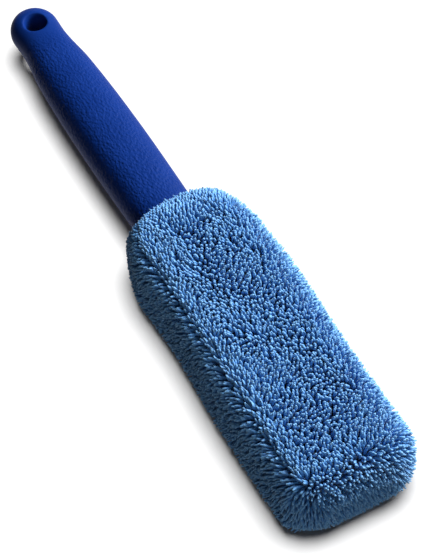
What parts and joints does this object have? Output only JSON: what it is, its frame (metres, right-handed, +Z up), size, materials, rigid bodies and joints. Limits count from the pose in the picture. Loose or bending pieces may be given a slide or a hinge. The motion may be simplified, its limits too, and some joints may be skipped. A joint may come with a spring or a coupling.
{
  "type": "wheel brush",
  "caption": "Wheel cleaning brush: moulded hanging grip, stiff paddle blade between foam pads, and a pull-off twist-pile microfibre cover gathered at the neck.",
  "frame": {"origin": "under the middle of the brush's bounding box, on the surface that the head lies on", "axes": "+X along the brush from the grip's tip to the far end of the head, +Y across the head, +Z up out of the head's broad face"},
  "size_m": [0.39, 0.076, 0.05],
  "materials": {
    "grip_blue": "satin",
    "blade_black": "satin",
    "screw_steel": "satin",
    "glue": "satin",
    "foam_grey": "matte",
    "pile_blue": "matte",
    "tape_navy": "matte",
    "elastic_white": "matte"
  },
  "bodies": {
    "handle": {"handle_grip": "grip_blue", "paddle_blade": "blade_black", "tang_screw_left": "screw_steel", "tang_screw_right": "screw_steel", "glue_film_upper": "glue", "glue_film_lower": "glue", "foam_pad_upper": "foam_grey", "foam_pad_lower": "foam_grey"},
    "cover": {"cover_top_panel": "pile_blue", "cover_bottom_panel": "pile_blue", "cover_side_strip": "pile_blue", "cover_cuff": "pile_blue", "cuff_hem": "tape_navy", "cuff_elastic": "elastic_white", "seam_tape_upper": "tape_navy", "seam_tape_lower": "tape_navy"}
  },
  "joints": [
    {"name": "cover_slide", "type": "slide", "parent": "handle", "child": "cover", "axis": [1, 0, 0], "range_m": [0, 0.23], "deforming": ["cover_cuff", "cuff_hem", "cuff_elastic"]}
  ]
}
